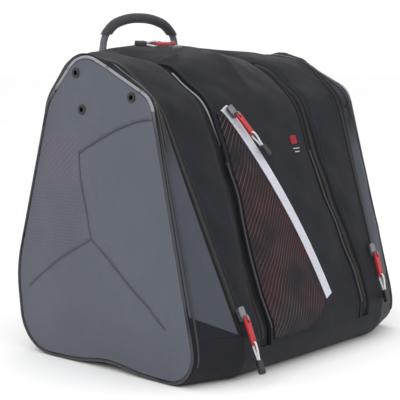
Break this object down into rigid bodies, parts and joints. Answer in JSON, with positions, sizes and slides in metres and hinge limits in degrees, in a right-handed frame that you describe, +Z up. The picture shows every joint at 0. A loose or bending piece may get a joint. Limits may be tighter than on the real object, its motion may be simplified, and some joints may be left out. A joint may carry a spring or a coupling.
{
  "type": "ski boot bag",
  "caption": "Ski boot and helmet bag: side boot compartments with fold-down doors, front flap with pocket, zip pulls, carry handle and shoulder straps.",
  "frame": {"origin": "on the floor under the bag, midway between its side panels", "axes": "+X to the right of the bag as seen from its front, -Y to its front, +Z up"},
  "size_m": [0.4502, 0.3994, 0.4622],
  "materials": {
    "side_cloth": "mid-grey ripstop weave",
    "dark_cloth": "dark coated polyester",
    "back_mesh": "black spacer mesh",
    "pocket_cloth": "dark cloth with dark red contour lines",
    "zip_tape": "black coated zip tape",
    "silver_zip": "silver laminated waterproof zip",
    "dark_piping": "black piping",
    "silver_piping": "silver grey piping",
    "divider_foam": "lined foam",
    "base_board": "stiff plastic board",
    "strap_padding": "padded strap cloth",
    "webbing": "grey webbing",
    "buckle_plastic": "black moulded buckle",
    "handle_sleeve": "dark grey textured sleeve",
    "eyelet_black": "black enamelled eyelet",
    "slider_metal": "black zip slider",
    "pull_rubber": "red moulded rubber",
    "pull_cord": "white braided cord",
    "toggle_plastic": "black moulded end"
  },
  "bodies": {
    "root": {"base_tray": "dark_cloth", "base_board": "base_board", "back_panel": "back_mesh", "top_panel": "dark_cloth", "top_zip_tape": "zip_tape", "left_front_band": "dark_cloth", "right_front_band": "dark_cloth", "left_flap_zip": "zip_tape", "right_flap_zip": "zip_tape", "left_boot_zip_inner": "zip_tape", "right_boot_zip_inner": "zip_tape", "left_divider": "divider_foam", "right_divider": "divider_foam", "left_lower_side": "side_cloth", "right_lower_side": "side_cloth", "left_lower_piping": "dark_piping", "right_lower_piping": "dark_piping", "left_shoulder_strap": "strap_padding", "right_shoulder_strap": "strap_padding", "left_ladder_lock": "buckle_plastic", "right_ladder_lock": "buckle_plastic", "left_strap_webbing": "webbing", "right_strap_webbing": "webbing", "handle_anchors": "webbing"},
    "left_door": {"left_side_panel": "side_cloth", "left_gusset": "side_cloth", "left_boot_zip_outer": "zip_tape", "left_piping": "dark_piping", "left_eyelets": "eyelet_black"},
    "right_door": {"right_side_panel": "side_cloth", "right_gusset": "side_cloth", "right_boot_zip_outer": "zip_tape", "right_piping": "dark_piping", "right_eyelets": "eyelet_black"},
    "front_flap": {"flap_panel": "dark_cloth", "flap_piping": "silver_piping", "pocket_panel": "pocket_cloth", "pocket_zip": "silver_zip"},
    "handle": {"handle_core": "webbing", "handle_grip": "handle_sleeve"},
    "left_boot_runner": {"left_boot_slider": "slider_metal"},
    "left_boot_pull": {"left_boot_pull_tab": "pull_rubber", "left_boot_pull_cord": "pull_cord", "left_boot_pull_toggle": "toggle_plastic"},
    "right_boot_runner": {"right_boot_slider": "slider_metal"},
    "right_boot_pull": {"right_boot_pull_tab": "pull_rubber", "right_boot_pull_cord": "pull_cord", "right_boot_pull_toggle": "toggle_plastic"},
    "top_runner": {"top_slider": "slider_metal"},
    "top_pull": {"top_pull_tab": "pull_rubber", "top_pull_cord": "pull_cord", "top_pull_toggle": "toggle_plastic"},
    "pocket_runner": {"pocket_slider": "slider_metal"},
    "pocket_pull": {"pocket_pull_tab": "pull_rubber", "pocket_pull_cord": "pull_cord", "pocket_pull_toggle": "toggle_plastic"}
  },
  "joints": [
    {"name": "left_door_fold", "type": "hinge", "parent": "root", "child": "left_door", "pos_m": [-0.22336, 0, 0.062], "axis": [0, -1, 0], "range_deg": [0, 95]},
    {"name": "right_door_fold", "type": "hinge", "parent": "root", "child": "right_door", "pos_m": [0.22336, 0, 0.062], "axis": [0, 1, 0], "range_deg": [0, 95]},
    {"name": "front_flap_fold", "type": "hinge", "parent": "root", "child": "front_flap", "pos_m": [0, -0.1915, 0.038], "axis": [1, 0, 0], "range_deg": [0, 105]},
    {"name": "handle_swing", "type": "hinge", "parent": "root", "child": "handle", "pos_m": [0, 0.136, 0.404], "axis": [1, 0, 0], "range_deg": [-80, 25]},
    {"name": "left_boot_zip_run", "type": "slide", "parent": "root", "child": "left_boot_runner", "axis": [-0.1074, 0.3571, 0.9279], "range_m": [0, 0.245]},
    {"name": "left_boot_pull_swing", "type": "hinge", "parent": "left_boot_runner", "child": "left_boot_pull", "pos_m": [-0.15376, -0.19173, 0.08295], "axis": [-0.9942, -0.0386, -0.1002], "range_deg": [0, 140]},
    {"name": "right_boot_zip_run", "type": "slide", "parent": "root", "child": "right_boot_runner", "axis": [0.1074, 0.3571, 0.9279], "range_m": [0, 0.204]},
    {"name": "right_boot_pull_swing", "type": "hinge", "parent": "right_boot_runner", "child": "right_boot_pull", "pos_m": [0.15815, -0.1771, 0.12094], "axis": [-0.9942, 0.0386, 0.1002], "range_deg": [0, 140]},
    {"name": "top_zip_run", "type": "slide", "parent": "root", "child": "top_runner", "axis": [1, 0, 0], "range_m": [0, 0.13]},
    {"name": "top_pull_swing", "type": "hinge", "parent": "top_runner", "child": "top_pull", "pos_m": [-0.055, 0.02029, 0.41777], "axis": [0, 0.9891, 0.147], "range_deg": [0, 150]},
    {"name": "pocket_zip_run", "type": "hinge", "parent": "front_flap", "child": "pocket_runner", "pos_m": [-0.65079, -0.23309, -0.04182], "axis": [0, 0.9298, -0.368], "range_deg": [0, 19]},
    {"name": "pocket_pull_swing", "type": "hinge", "parent": "pocket_runner", "child": "pocket_pull", "pos_m": [-0.06084, -0.10047, 0.32588], "axis": [-0.8337, -0.2032, -0.5134], "range_deg": [0, 140]}
  ]
}
